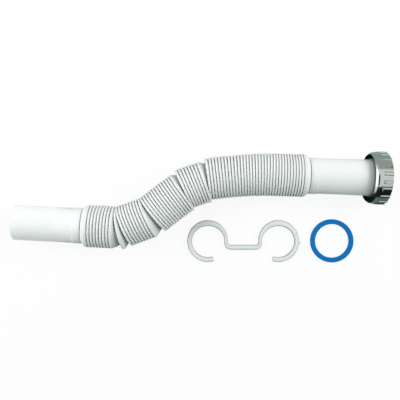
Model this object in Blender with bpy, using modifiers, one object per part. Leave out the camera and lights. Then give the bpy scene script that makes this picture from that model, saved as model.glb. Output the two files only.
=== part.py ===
"""Flexible sink waste connector: a bellows pipe with a slip nut, its sealing washer and its clip.

The hose is one blow-moulded piece. It starts in a plain spigot, goes through a bellows whose folds
are either pushed closed or opened on one side to make a bend, and ends in a plain cuff with a flange
that the nut draws against the waste outlet. The hose lies on the floor with its bends in the
horizontal plane, and climbs a little towards the nut, which is wider than the folds. The washer and
the double clip lie beside it.

Metres, +Z up. The nut's end points along +X. The model stands on z = 0, centred on its footprint.
"""

import math
from collections import namedtuple

import bmesh
import bpy
from mathutils import Matrix, Vector

# Pipe ends
CUFF_RADIUS = 0.01905
CUFF_WALL = 0.0016
SPIGOT_LENGTH = 0.0742
OUTLET_CUFF_LENGTH = 0.0710
OUTLET_FLARE = 0.0007
COLLAR_LENGTH = 0.0095
COLLAR_STEP = 0.0004
LIP_CHAMFER = 0.0006

# Bellows
CREST_RISE = 0.00415
CREST_RADIUS = CUFF_RADIUS + CREST_RISE
CREST_FLAT = 0.0012
FOLD_DEPTH = 0.0047
CREST_WALL = 0.0010
RIDGE_WALL = 0.0018
VALLEY_WALL = 0.0009
VALLEY_LEAN = 0.16
CLOSED_PITCH = 0.0033
SLACK_PITCH = 0.0032
LOOSE_PITCH = 0.0034
EVEN_PITCH = 0.00303
TIGHT_PITCH = 0.00282
PINCHED_PITCH = 0.0014
PINCHED_LOOSE = 0.0022
PINCHED_TIGHT = 0.0010
SPIGOT_SHOULDER = 0.0064
OUTLET_SHOULDER = 0.0065
HOSE_SIDES = 16

# Clearances
RUNNING_GAP = 0.0003
NUT_BORE_GAP = 0.0006
FLANGE_PLAY = 0.0014

# Flange and slip nut
FLANGE_REACH = 0.0023
FLANGE_RADIUS = CUFF_RADIUS + OUTLET_FLARE + FLANGE_REACH
FLANGE_THICKNESS = 0.0026
NUT_LENGTH = 0.0179
NUT_WALL = 0.00435
NUT_THREAD_RADIUS = FLANGE_RADIUS + FLANGE_PLAY
NUT_RIM_RADIUS = NUT_THREAD_RADIUS + NUT_WALL
NUT_RIB_HEIGHT = 0.0010
NUT_RIB_WIDTH = 0.0030
NUT_RIB_COUNT = 20
NUT_RIB_PHASE = math.radians(11.3)
NUT_RIB_LENGTH = 0.0104
NUT_BACK_WALL = 0.0030
NUT_EDGE = 0.0009
NUT_BACK_EDGE = 0.0018
NUT_SIDES = 60

# Washer, whose hole passes over the plain ends
WASHER_BORE_GAP = 0.00005
WASHER_INNER_RADIUS = CUFF_RADIUS + WASHER_BORE_GAP
WASHER_BAND = 0.0055
WASHER_OUTER_RADIUS = WASHER_INNER_RADIUS + WASHER_BAND
WASHER_THICKNESS = 0.0030
WASHER_EDGE = 0.0004
WASHER_SIDES = 40

# Clip, whose hooks grip the plain ends
CLIP_WIDTH = 0.0053
HOOK_TOP_WIDTH = 0.0066
HOOK_INNER_WIDTH = 0.0040
CLIP_HEIGHT = 0.0052
CLIP_EDGE = 0.0012
HOOK_SQUEEZE = 0.00095
HOOK_RADIUS = CUFF_RADIUS + CLIP_WIDTH / 2 - HOOK_SQUEEZE
HOOK_SPACING = 0.0801
HOOK_OPEN_ANGLE = math.radians(-74.0)
HOOK_STEPS = 22
CLIP_CORNER_RADIUS = 0.0050
CLIP_CORNER_STEPS = 4
CLIP_STRAIGHT = 0.0018
CLIP_BAR_DROP = CLIP_CORNER_RADIUS + CLIP_STRAIGHT
NUB_RADIUS = 0.0017
NUB_REACH = 0.0016
NUB_SIDES = 12

# Mesh
SHARP_ANGLE = math.radians(35.0)
WELD_DISTANCE = 0.00001

# Layout, before the model is centred: where the spigot begins, and the loose pieces' middles
SPIGOT_START = Vector((-0.2020, -0.0245))
SPIGOT_HEADING = math.radians(-2.9)
CLIP_PLACE = Vector((0.0490, -0.0469))
LOOSE_GAP = 0.01135
CLIP_REACH = HOOK_SPACING / 2 + HOOK_RADIUS + CLIP_WIDTH / 2 + NUB_REACH
WASHER_PLACE = CLIP_PLACE + Vector((CLIP_REACH + LOOSE_GAP + WASHER_OUTER_RADIUS, 0.0004))

# One stretch of bellows: how many folds, how far they turn the pipe in all (degrees, anticlockwise
# from above), their pitch (on the pinched side where they stand open), whether they stand open on the
# outside of the bend, how far they slip sideways on each other (degrees off the pipe's heading), and
# which share of the climb to the nut's height is steered in here.
Stretch = namedtuple("Stretch", "folds turn pitch opened slip climb")
BELLOWS = (
    Stretch(8, 0.0, CLOSED_PITCH, False, 0.0, 0.0),
    Stretch(1, 15.0, PINCHED_PITCH, True, -13.0, 0.0),
    Stretch(1, 11.0, PINCHED_PITCH, True, 9.0, 0.0),
    Stretch(8, 1.2, CLOSED_PITCH, False, -4.0, 0.0),
    Stretch(1, 14.5, PINCHED_LOOSE, True, 0.0, 0.0),
    Stretch(12, -3.8, SLACK_PITCH, False, 0.0, 0.0),
    Stretch(1, -9.8, PINCHED_PITCH, True, 24.0, 0.0),
    Stretch(7, -5.4, SLACK_PITCH, False, -4.0, 0.0),
    Stretch(1, -12.5, PINCHED_TIGHT, True, 24.0, 0.0),
    Stretch(11, -4.0, LOOSE_PITCH, False, 0.5, 1.0),
    Stretch(11, -5.4, EVEN_PITCH, False, 0.5, 0.0),
    Stretch(11, 0.2, TIGHT_PITCH, False, 0.5, -1.0),
)

Finish = namedtuple("Finish", "colour roughness metallic")
WHITE_PLASTIC = Finish((0.83, 0.84, 0.83, 1.0), 0.38, 0.0)
CHROME = Finish((0.42, 0.46, 0.45, 1.0), 0.16, 1.0)
BLUE_RUBBER = Finish((0.0, 0.19, 0.60, 1.0), 0.45, 0.0)
CLEAR_PLASTIC = Finish((0.80, 0.84, 0.82, 1.0), 0.30, 0.0)


class Station:
    """A place along the pipe's centre line, with the plane square to it."""

    def __init__(self, centre, heading, climb):
        self.centre = Vector(centre)
        self.heading = heading
        self.climb = climb

    @property
    def along(self):
        flat = math.cos(self.climb)
        return Vector((flat * math.cos(self.heading), flat * math.sin(self.heading), math.sin(self.climb)))

    @property
    def side(self):
        return Vector((-math.sin(self.heading), math.cos(self.heading), 0.0))

    @property
    def above(self):
        return self.along.cross(self.side)

    def moved(self, distance, turn=0.0, climb=0.0, slip=0.0):
        """The station reached after a step that bends evenly by turn and climb, and slips sideways."""
        middle = Station(self.centre, self.heading + turn / 2 + slip, self.climb + climb / 2)
        return Station(self.centre + middle.along * distance, self.heading + turn, self.climb + climb)

    def ring(self, radius, offset=0.0):
        """Points of a circle in the station's plane, moved along the pipe by offset."""
        points = []
        for step in range(HOSE_SIDES):
            angle = math.pi / 2 + 2 * math.pi * step / HOSE_SIDES
            spoke = math.cos(angle) * self.side + math.sin(angle) * self.above
            points.append(self.centre + self.along * offset + spoke * radius)
        return points

    def frame(self):
        """A matrix whose Z runs along the pipe and whose X points up."""
        rotation = Matrix((self.above, -self.side, self.along)).transposed()
        return Matrix.Translation(self.centre) @ rotation.to_4x4()


def climb_angle():
    """Slope in the middle of the last stack that lifts the axis from the folds' radius to the nut's."""
    steered = sum(stretch.folds * stretch.pitch for stretch in BELLOWS if stretch.climb)
    sloping = sum(stretch.folds * stretch.pitch for stretch in between_climbs())
    rise = NUT_RIM_RADIUS + NUT_RIB_HEIGHT - CREST_RADIUS
    return math.asin(rise / (steered / 2 + sloping))


def between_climbs():
    """The stretches that keep the full slope, between the one that starts it and the one that ends it."""
    level = 0.0
    sloping = []
    for stretch in BELLOWS:
        if level and not stretch.climb:
            sloping.append(stretch)
        level += stretch.climb
    return sloping


def crest_stations(first):
    """Stations of every fold's crest, with True for each crest that borders an opened fold."""
    slope = climb_angle()
    stations = [first]
    ridges = [False]
    for stretch in BELLOWS:
        turn = math.radians(stretch.turn) / stretch.folds
        rise = slope * stretch.climb / stretch.folds
        advance = stretch.pitch
        if stretch.opened:
            advance += abs(turn) * CREST_RADIUS
            ridges[-1] = True
        for _ in range(stretch.folds):
            stations.append(stations[-1].moved(advance, turn, rise, math.radians(stretch.slip)))
            ridges.append(stretch.opened)
    return stations, ridges


def crest_rings(crest, ridge):
    """Outer and inner rings of a crest: a narrow flat where folds are closed, a ridge where open."""
    if ridge:
        return [crest.ring(CREST_RADIUS)], [crest.ring(CREST_RADIUS - RIDGE_WALL)]
    flat = [crest.ring(CREST_RADIUS, -CREST_FLAT / 2), crest.ring(CREST_RADIUS, CREST_FLAT / 2)]
    return flat, [crest.ring(CREST_RADIUS - CREST_WALL)]


def valley_rings(near, far, hub):
    """Outer and inner ring of the valley between the facing edges of two crests.

    The valley is as deep where the fold stands open as where it is closed, and an open fold's first
    flank is the longer one. The inner skin lies one wall inside.
    """
    outer, inner = [], []
    for here, there in zip(near, far):
        gap = (there - here).length
        lean = VALLEY_LEAN * max(0.0, 1.0 - CLOSED_PITCH / gap)
        inward = (hub - (here + there) / 2).normalized()
        middle = here.lerp(there, 0.5 + lean)
        outer.append(middle + inward * FOLD_DEPTH)
        inner.append(middle + inward * (FOLD_DEPTH + VALLEY_WALL))
    return outer, inner


def bellows_rings(crests, ridges):
    """Outer and inner rings of all folds, from the first crest to the last."""
    outer, inner = [], []
    rims = [crest_rings(crest, ridge) for crest, ridge in zip(crests, ridges)]
    for index, (rim_outer, rim_inner) in enumerate(rims):
        outer += rim_outer
        inner += rim_inner
        if index + 1 < len(rims):
            hub = (crests[index].centre + crests[index + 1].centre) / 2
            valley_outer, valley_inner = valley_rings(rim_outer[-1], rims[index + 1][0][0], hub)
            outer.append(valley_outer)
            inner.append(valley_inner)
    return outer, inner


def hose_skins(start):
    """Rings of the hose's outer and inner skin, both from the spigot's lip to the outlet flange."""
    root = start.moved(SPIGOT_LENGTH)
    crests, ridges = crest_stations(root.moved(SPIGOT_SHOULDER))
    shoulder_end = crests[-1].moved(OUTLET_SHOULDER)
    face = shoulder_end.moved(OUTLET_CUFF_LENGTH)

    bore = CUFF_RADIUS - CUFF_WALL
    collar = CUFF_RADIUS + COLLAR_STEP
    flared = CUFF_RADIUS + OUTLET_FLARE
    fold_outer, fold_inner = bellows_rings(crests, ridges)

    outer = [
        start.ring(CUFF_RADIUS - LIP_CHAMFER),
        start.ring(CUFF_RADIUS, LIP_CHAMFER),
        root.ring(CUFF_RADIUS, -COLLAR_LENGTH - COLLAR_STEP),
        root.ring(collar, -COLLAR_LENGTH),
        root.ring(collar),
        *fold_outer,
        shoulder_end.ring(collar),
        shoulder_end.ring(collar, COLLAR_LENGTH),
        shoulder_end.ring(CUFF_RADIUS, COLLAR_LENGTH + COLLAR_STEP),
        face.ring(flared, -FLANGE_THICKNESS),
        face.ring(FLANGE_RADIUS, -FLANGE_THICKNESS),
        face.ring(FLANGE_RADIUS),
    ]
    inner = [
        start.ring(bore),
        root.ring(bore, COLLAR_STEP),
        *fold_inner,
        shoulder_end.ring(bore, -COLLAR_STEP),
        face.ring(bore),
    ]
    return outer, inner, face


def skin(rings, closed_length):
    """A mesh through successive rings of points, joined end to end or capped at both ends."""
    bm = bmesh.new()
    loops = []
    for ring in rings:
        loops.append([bm.verts.new(point) for point in ring])
    count = len(loops)
    last = count if closed_length else count - 1
    for index in range(last):
        here, there = loops[index], loops[(index + 1) % count]
        for corner in range(len(here)):
            after = (corner + 1) % len(here)
            bm.faces.new((here[corner], here[after], there[after], there[corner]))
    if not closed_length:
        bm.faces.new(loops[0])
        bm.faces.new(loops[-1])
    bmesh.ops.recalc_face_normals(bm, faces=bm.faces)
    return bm


def principled(name, finish):
    """A Principled material with the finish's colour, roughness and metallic value."""
    material = bpy.data.materials.new(name)
    material.use_nodes = True
    shader = material.node_tree.nodes["Principled BSDF"]
    shader.inputs["Base Color"].default_value = finish.colour
    shader.inputs["Roughness"].default_value = finish.roughness
    shader.inputs["Metallic"].default_value = finish.metallic
    material.diffuse_color = finish.colour
    return material


def new_collection(name):
    """A collection linked to the scene."""
    collection = bpy.data.collections.new(name)
    bpy.context.scene.collection.children.link(collection)
    return collection


def add_object(name, bm, collection, parent, material=None, matrix=None):
    """Put a bmesh into a named object under its parent."""
    mesh = bpy.data.meshes.new(name)
    bm.to_mesh(mesh)
    bm.free()
    body = bpy.data.objects.new(name, mesh)
    collection.objects.link(body)
    body.parent = parent
    if matrix is not None:
        body.matrix_basis = matrix
    if material is not None:
        mesh.materials.append(material)
    mesh.shade_smooth()
    mesh.set_sharp_from_angle(angle=SHARP_ANGLE)
    return body


def add_empty(name, collection, parent=None, matrix=None):
    """An empty that other pieces hang on."""
    empty = bpy.data.objects.new(name, None)
    empty.empty_display_size = 0.02
    collection.objects.link(empty)
    empty.parent = parent
    if matrix is not None:
        empty.matrix_basis = matrix
    return empty


def profile_mesh(points):
    """An open or closed chain of edges in the XZ plane, given as (radius, height) pairs."""
    bm = bmesh.new()
    chain = [bm.verts.new((radius, 0.0, height)) for radius, height in points]
    for here, there in zip(chain, chain[1:]):
        bm.edges.new((here, there))
    bm.edges.new((chain[-1], chain[0]))
    return bm


def spin(body, sides):
    """Turn the object's profile all the way round its Z axis."""
    screw = body.modifiers.new("Turned", "SCREW")
    screw.axis = "Z"
    screw.steps = sides
    screw.render_steps = sides
    screw.use_merge_vertices = True
    screw.merge_threshold = WELD_DISTANCE
    screw.use_normal_calculate = True
    return screw


def build_hose(collection, root):
    """The bellows pipe with both plain ends, as one hollow moulding."""
    start = Station((SPIGOT_START.x, SPIGOT_START.y, CREST_RADIUS), SPIGOT_HEADING, 0.0)
    outer, inner, face = hose_skins(start)
    bm = skin(outer + inner[::-1], closed_length=True)
    material = principled("white_plastic", WHITE_PLASTIC)
    hose = add_object("bellows_hose", bm, collection, root, material)
    return hose, face


def nut_profile():
    """Section of the nut as (radius, height), from the front face down the outside and up the bore."""
    rim = NUT_RIM_RADIUS
    hole = CUFF_RADIUS + OUTLET_FLARE + NUT_BORE_GAP
    mouth = NUT_THREAD_RADIUS + NUT_EDGE
    return (
        (rim - NUT_EDGE, NUT_LENGTH),
        (rim, NUT_LENGTH - NUT_EDGE),
        (rim, NUT_BACK_EDGE),
        (rim - NUT_BACK_EDGE, 0.0),
        (hole, 0.0),
        (hole, NUT_BACK_WALL),
        (NUT_THREAD_RADIUS, NUT_BACK_WALL),
        (NUT_THREAD_RADIUS, NUT_LENGTH - NUT_EDGE),
        (mouth, NUT_LENGTH),
    )


def grip_ribs(collection, parent):
    """All grip ribs as one hidden object, ready to be joined to the nut's rim."""
    bm = bmesh.new()
    middle = NUT_LENGTH - NUT_EDGE - NUT_RIB_LENGTH / 2
    place = Matrix.Translation((NUT_RIM_RADIUS, 0.0, middle))
    size = Matrix.Diagonal((2 * NUT_RIB_HEIGHT, NUT_RIB_WIDTH, NUT_RIB_LENGTH, 1.0))
    for index in range(NUT_RIB_COUNT):
        turn = Matrix.Rotation(NUT_RIB_PHASE + 2 * math.pi * index / NUT_RIB_COUNT, 4, "Z")
        bmesh.ops.create_cube(bm, size=1.0, matrix=turn @ place @ size)
    ribs = add_object("nut_ribs_guide", bm, collection, parent)
    ribs.hide_render = True
    ribs.display_type = "WIRE"
    return ribs


def build_nut(collection, guides, root, face):
    """The slip nut, free to turn on the cuff behind the flange."""
    seat = face.moved(-FLANGE_THICKNESS - RUNNING_GAP - NUT_BACK_WALL)
    axis = add_empty("nut_axis", collection, root, seat.frame())
    material = principled("dark_chrome", CHROME)
    nut = add_object("slip_nut", profile_mesh(nut_profile()), collection, axis, material)
    spin(nut, NUT_SIDES)
    ribs = grip_ribs(guides, axis)
    union = nut.modifiers.new("Grip ribs", "BOOLEAN")
    union.operation = "UNION"
    union.solver = "EXACT"
    union.object = ribs
    return nut


def build_washer(collection, root):
    """The flat sealing washer, lying on the floor."""
    high, low = WASHER_THICKNESS, 0.0
    section = (
        (WASHER_OUTER_RADIUS - WASHER_EDGE, high),
        (WASHER_OUTER_RADIUS, high - WASHER_EDGE),
        (WASHER_OUTER_RADIUS, low + WASHER_EDGE),
        (WASHER_OUTER_RADIUS - WASHER_EDGE, low),
        (WASHER_INNER_RADIUS + WASHER_EDGE, low),
        (WASHER_INNER_RADIUS, low + WASHER_EDGE),
        (WASHER_INNER_RADIUS, high - WASHER_EDGE),
        (WASHER_INNER_RADIUS + WASHER_EDGE, high),
    )
    place = Matrix.Translation((WASHER_PLACE.x, WASHER_PLACE.y, 0.0))
    material = principled("blue_rubber", BLUE_RUBBER)
    washer = add_object("sealing_washer", profile_mesh(section), collection, root, material, place)
    spin(washer, WASHER_SIDES)
    return washer


def arc(centre, radius, start, end, steps):
    """Points on an arc, both ends included."""
    points = []
    for step in range(steps + 1):
        angle = start + (end - start) * step / steps
        points.append(Vector((centre[0] + radius * math.cos(angle), centre[1] + radius * math.sin(angle))))
    return points


def hook_width(angle):
    """Width of the strip at an angle of the left hook: widest at the top, thinnest beside the bar."""
    top = max(0.0, math.sin(angle)) ** 2
    inner = max(0.0, math.cos(angle)) ** 2
    return CLIP_WIDTH + (HOOK_TOP_WIDTH - CLIP_WIDTH) * top + (HOOK_INNER_WIDTH - CLIP_WIDTH) * inner


def clip_strip():
    """Middle points and widths of the clip's strip: a hook, a corner, the bar, and the same mirrored."""
    hook = Vector((-HOOK_SPACING / 2, 0.0))
    bar_height = -CLIP_BAR_DROP
    inner_side = hook.x + HOOK_RADIUS
    corner = Vector((inner_side + CLIP_CORNER_RADIUS, bar_height + CLIP_CORNER_RADIUS))
    half = arc(hook, HOOK_RADIUS, HOOK_OPEN_ANGLE, -2 * math.pi, HOOK_STEPS)
    sweep = (-2 * math.pi - HOOK_OPEN_ANGLE) / HOOK_STEPS
    widths = [hook_width(HOOK_OPEN_ANGLE + sweep * step) for step in range(HOOK_STEPS + 1)]
    half += arc(corner, CLIP_CORNER_RADIUS, math.pi, 1.5 * math.pi, CLIP_CORNER_STEPS)
    spread = (CLIP_WIDTH - HOOK_INNER_WIDTH) / CLIP_CORNER_STEPS
    widths += [HOOK_INNER_WIDTH + spread * step for step in range(CLIP_CORNER_STEPS + 1)]
    return half + [Vector((-point.x, point.y)) for point in reversed(half)], widths + widths[::-1]


def strip_ring(here, along, width):
    """The strip's section, a rectangle with cut corners, square to the centre line."""
    across = Vector((-along.y, along.x, 0.0))
    half_width, half_height = width / 2, CLIP_HEIGHT / 2
    corners = (
        (half_width - CLIP_EDGE, half_height), (half_width, half_height - CLIP_EDGE),
        (half_width, CLIP_EDGE - half_height), (half_width - CLIP_EDGE, -half_height),
        (CLIP_EDGE - half_width, -half_height), (-half_width, CLIP_EDGE - half_height),
        (-half_width, half_height - CLIP_EDGE), (CLIP_EDGE - half_width, half_height),
    )
    middle = Vector((here.x, here.y, half_height))
    return [middle + across * wide + Vector((0.0, 0.0, high)) for wide, high in corners]


def build_clip(collection, guides, root):
    """The double hook that holds two stretches of hose side by side, lying on the floor."""
    line, widths = clip_strip()
    rings = []
    for index, here in enumerate(line):
        before = line[max(index - 1, 0)]
        after = line[min(index + 1, len(line) - 1)]
        rings.append(strip_ring(here, (after - before).normalized(), widths[index]))
    place = Matrix.Translation((CLIP_PLACE.x, CLIP_PLACE.y, 0.0))
    material = principled("clear_plastic", CLEAR_PLASTIC)
    clip = add_object("support_clip", skin(rings, closed_length=False), collection, root, material, place)

    bm = bmesh.new()
    reach = NUB_REACH + CLIP_WIDTH / 2
    lie = Matrix.Rotation(math.pi / 2, 4, "Y")
    middle = Matrix.Translation((HOOK_SPACING / 2 + HOOK_RADIUS + reach / 2, -NUB_RADIUS, CLIP_HEIGHT / 2))
    bmesh.ops.create_cone(bm, cap_ends=True, segments=NUB_SIDES, radius1=NUB_RADIUS, radius2=NUB_RADIUS,
                          depth=reach, matrix=middle @ lie)
    nub = add_object("clip_nub_guide", bm, guides, root, None, place)
    nub.hide_render = True
    nub.display_type = "WIRE"
    union = clip.modifiers.new("Nub", "BOOLEAN")
    union.operation = "UNION"
    union.solver = "EXACT"
    union.object = nub
    return clip


def stand_on_floor(root, pieces):
    """Move the whole model so that it stands on z = 0 with its footprint centred on the origin."""
    bpy.context.view_layer.update()
    depsgraph = bpy.context.evaluated_depsgraph_get()
    corners = []
    for piece in pieces:
        solid = piece.evaluated_get(depsgraph)
        mesh = solid.to_mesh()
        corners += [solid.matrix_world @ vertex.co for vertex in mesh.vertices]
        solid.to_mesh_clear()
    low = [min(corner[axis] for corner in corners) for axis in range(3)]
    high = [max(corner[axis] for corner in corners) for axis in range(3)]
    root.location = (-(low[0] + high[0]) / 2, -(low[1] + high[1]) / 2, -low[2])
    bpy.context.view_layer.update()


def main():
    """Build the connector."""
    for leftover in list(bpy.data.objects):
        bpy.data.objects.remove(leftover, do_unlink=True)
    collection = new_collection("flexible_waste_connector")
    guides = new_collection("guides")
    root = add_empty("connector", collection)
    hose, face = build_hose(collection, root)
    nut = build_nut(collection, guides, root, face)
    washer = build_washer(collection, root)
    clip = build_clip(collection, guides, root)
    stand_on_floor(root, (hose, nut, washer, clip))


main()
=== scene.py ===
"""Looks of a flexible sink waste connector: bellows hose, chrome slip nut, sealing washer and clip.

The hose, the nut, the washer and the clip are rebuilt in fine mesh on the same centre line and with
the same sizes as the solids, and get procedural materials. Metres, +Z up, camera straight above.
"""
import logging
import math
from dataclasses import dataclass
from enum import Enum

import bpy
import numpy as np
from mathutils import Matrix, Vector


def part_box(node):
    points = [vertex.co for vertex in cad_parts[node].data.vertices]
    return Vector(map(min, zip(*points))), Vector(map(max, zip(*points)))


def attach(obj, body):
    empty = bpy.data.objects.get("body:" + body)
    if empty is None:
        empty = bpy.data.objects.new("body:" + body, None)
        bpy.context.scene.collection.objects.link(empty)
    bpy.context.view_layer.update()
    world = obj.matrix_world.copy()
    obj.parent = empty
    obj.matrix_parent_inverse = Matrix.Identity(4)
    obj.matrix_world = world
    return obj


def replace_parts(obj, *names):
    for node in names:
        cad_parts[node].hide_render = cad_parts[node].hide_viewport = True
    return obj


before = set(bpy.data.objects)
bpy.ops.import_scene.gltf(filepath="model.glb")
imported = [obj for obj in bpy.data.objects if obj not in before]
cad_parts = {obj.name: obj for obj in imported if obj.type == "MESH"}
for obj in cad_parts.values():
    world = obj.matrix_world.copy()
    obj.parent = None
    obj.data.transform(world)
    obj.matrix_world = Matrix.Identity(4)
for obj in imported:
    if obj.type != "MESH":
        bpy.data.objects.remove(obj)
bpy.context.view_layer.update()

log = logging.getLogger("waste_connector")

# Name of the mesh layer that carries painted shade, which the finishes mix into their colour.
PAINTED_SHADE_LAYER = "shade"

Number = float | np.ndarray
Colour = tuple[float, float, float, float]
Wire = float | tuple[float, ...] | bpy.types.NodeSocket
Faces = list[tuple[int, ...]]
Rings = list[np.ndarray]
Outline = list[tuple[float, float]]
Shaded = tuple[np.ndarray, float]
Corner = tuple[float, float, float]


class Body(Enum):
    """Rigid bodies of the part."""

    ROOT = "root"
    NUT = "nut"


class Slot(Enum):
    """Material slots of the record."""

    WHITE_PLASTIC = "white_plastic"
    DARK_CHROME = "dark_chrome"
    BLUE_RUBBER = "blue_rubber"
    CLEAR_PLASTIC = "clear_plastic"


@dataclass(frozen=True)
class Stretch:
    """Folds that behave alike.

    folds: how many. turn: degrees they turn the pipe in all, anticlockwise from above. pitch: their
    spacing, on the pinched side where they stand open. opened: whether they stand open outside the
    bend. slip: degrees they slip off the pipe's heading. climb: share of the climb to the nut's
    height that is steered in here.
    """

    folds: int
    turn: float
    pitch: float
    opened: bool = False
    slip: float = 0.0
    climb: float = 0.0


@dataclass(frozen=True)
class HoseSpec:
    """Sizes of the blow-moulded hose."""

    start: tuple[float, float] = (-0.2020, -0.0245)
    heading: float = math.radians(-2.9)
    cuff_radius: float = 0.01905
    cuff_wall: float = 0.0016
    spigot_length: float = 0.0742
    outlet_length: float = 0.0710
    flare: float = 0.0007
    collar_length: float = 0.0095
    collar_step: float = 0.0004
    lip: float = 0.0006
    bead_places: tuple[float, ...] = (0.0030, 0.0062)
    bead_half_width: float = 0.0005
    bead_height: float = 0.00018
    crest_rise: float = 0.00415
    crest_half_width: float = 0.00112
    crest_gap_share: float = 0.36
    crest_round: float = 0.00070
    groove_depth: float = 0.0012
    groove_width: float = 0.0009
    groove_slope: float = 0.0001
    groove_floor_share: float = 0.8
    fold_depth: float = 0.0047
    flank_bulge: float = 0.00025
    valley_lean: float = 0.36
    valley_half_share: float = 0.06
    closed_pitch: float = 0.0033
    nest_reach: float = 0.0050
    nest_margin: float = 0.0024
    valley_wall: float = 0.0009
    inner_ridge_share: float = 0.4
    inner_valley_shift: float = 0.0005
    spigot_shoulder: float = 0.0064
    outlet_shoulder: float = 0.0065
    flange_reach: float = 0.0023
    flange_thickness: float = 0.0026
    edge: float = 0.0003
    sides: int = 96
    stretches: tuple[Stretch, ...] = (
        Stretch(8, 0.0, 0.0033),
        Stretch(1, 15.0, 0.0014, opened=True, slip=-13.0),
        Stretch(1, 11.0, 0.0014, opened=True, slip=9.0),
        Stretch(8, 1.2, 0.0033, slip=-4.0),
        Stretch(1, 14.5, 0.0022, opened=True),
        Stretch(12, -3.8, 0.0032),
        Stretch(1, -9.8, 0.0014, opened=True, slip=24.0),
        Stretch(7, -5.4, 0.0032, slip=-4.0),
        Stretch(1, -12.5, 0.0010, opened=True, slip=24.0),
        Stretch(11, -4.0, 0.0034, slip=0.5, climb=1.0),
        Stretch(11, -5.4, 0.00303, slip=0.5),
        Stretch(11, 0.2, 0.00282, slip=0.5, climb=-1.0),
    )

    @property
    def crest_radius(self) -> float:
        """Radius over the folds."""
        return self.cuff_radius + self.crest_rise

    @property
    def flange_radius(self) -> float:
        """Radius of the flange that the nut pulls on."""
        return self.cuff_radius + self.flare + self.flange_reach


@dataclass(frozen=True)
class NutSpec:
    """Sizes of the slip nut."""

    length: float = 0.0179
    wall: float = 0.00435
    rib_height: float = 0.0010
    rib_width: float = 0.0030
    rib_count: int = 20
    rib_phase: float = math.radians(11.3)
    rib_length: float = 0.0104
    back_wall: float = 0.0030
    bore_gap: float = 0.0006
    flange_play: float = 0.0014
    running_gap: float = 0.0003
    edge: float = 0.0009
    hole_edge: float = 0.0006
    bevel_angle: float = math.radians(40.0)
    bevel_width: float = 0.0020
    bevel_round: float = 0.0032
    bevel_edge: float = 0.0005
    back_flat: float = 0.0004
    rib_slope: float = 0.0005
    rib_foot_gap: float = 0.0010
    rib_crown_gap: float = 0.0006
    thread_pitch: float = 0.002309
    thread_depth: float = 0.0011
    thread_gap: float = 0.0002
    thread_clear: float = 0.0010
    samples_per_rib: int = 18


@dataclass(frozen=True)
class WasherSpec:
    """Sizes of the sealing washer."""

    bore_gap: float = 0.00005
    band: float = 0.0055
    thickness: float = 0.0030
    edge: float = 0.0007
    sides: int = 128


@dataclass(frozen=True)
class ClipSpec:
    """Sizes of the double clip."""

    place: tuple[float, float] = (0.0490, -0.0469)
    width: float = 0.0053
    top_width: float = 0.0066
    inner_width: float = 0.0040
    height: float = 0.0052
    edge: float = 0.0017
    squeeze: float = 0.00095
    spacing: float = 0.0801
    open_angle: float = math.radians(-74.0)
    corner_radius: float = 0.0050
    drop: float = 0.0018
    nub_radius: float = 0.0017
    nub_reach: float = 0.0016
    loose_gap: float = 0.01135
    washer_offset: float = 0.0004


class Station:
    """A place along the pipe's centre line, with the plane square to it."""

    def __init__(self, centre: Vector, heading: float, climb: float = 0.0) -> None:
        """Set the station.

        Args:
            centre: point on the centre line.
            heading: direction in the floor's plane, radians from +X.
            climb: slope of the pipe, radians.
        """
        self.centre = Vector(centre)
        self.heading = heading
        self.climb = climb

    @property
    def along(self) -> Vector:
        """Unit vector along the pipe."""
        flat = math.cos(self.climb)
        return Vector((
            flat * math.cos(self.heading), flat * math.sin(self.heading), math.sin(self.climb),
        ))

    @property
    def side(self) -> Vector:
        """Level unit vector to the pipe's left."""
        return Vector((-math.sin(self.heading), math.cos(self.heading), 0.0))

    @property
    def above(self) -> Vector:
        """Unit vector square to the pipe, upwards."""
        return self.along.cross(self.side)

    def moved(
        self, distance: float, turn: float = 0.0, climb: float = 0.0, slip: float = 0.0
    ) -> "Station":
        """Return the station after a step.

        Args:
            distance: length of the step.
            turn: change of heading over it.
            climb: change of slope over it.
            slip: angle that the step itself keeps off the heading.

        Returns:
            The new station.
        """
        middle = Station(self.centre, self.heading + turn / 2 + slip, self.climb + climb / 2)
        end = self.centre + middle.along * distance
        return Station(end, self.heading + turn, self.climb + climb)

    def spokes(self, count: int) -> np.ndarray:
        """Return unit vectors from the centre to each corner of a ring.

        Args:
            count: corners of the ring.

        Returns:
            Array of count rows.
        """
        angle = math.pi / 2 + 2 * math.pi * np.arange(count) / count
        return np.outer(np.cos(angle), self.side) + np.outer(np.sin(angle), self.above)

    def ring(self, count: int, radius: Number, offset: Number = 0.0) -> np.ndarray:
        """Return the corners of a ring around the station.

        Args:
            count: corners of the ring.
            radius: one radius, or one for each corner.
            offset: how far each corner lies ahead of the station.

        Returns:
            Array of count points.
        """
        reach = np.broadcast_to(radius, count)[:, None]
        ahead = np.broadcast_to(offset, count)[:, None]
        return np.array(self.centre) + self.spokes(count) * reach + np.array(self.along) * ahead


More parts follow.
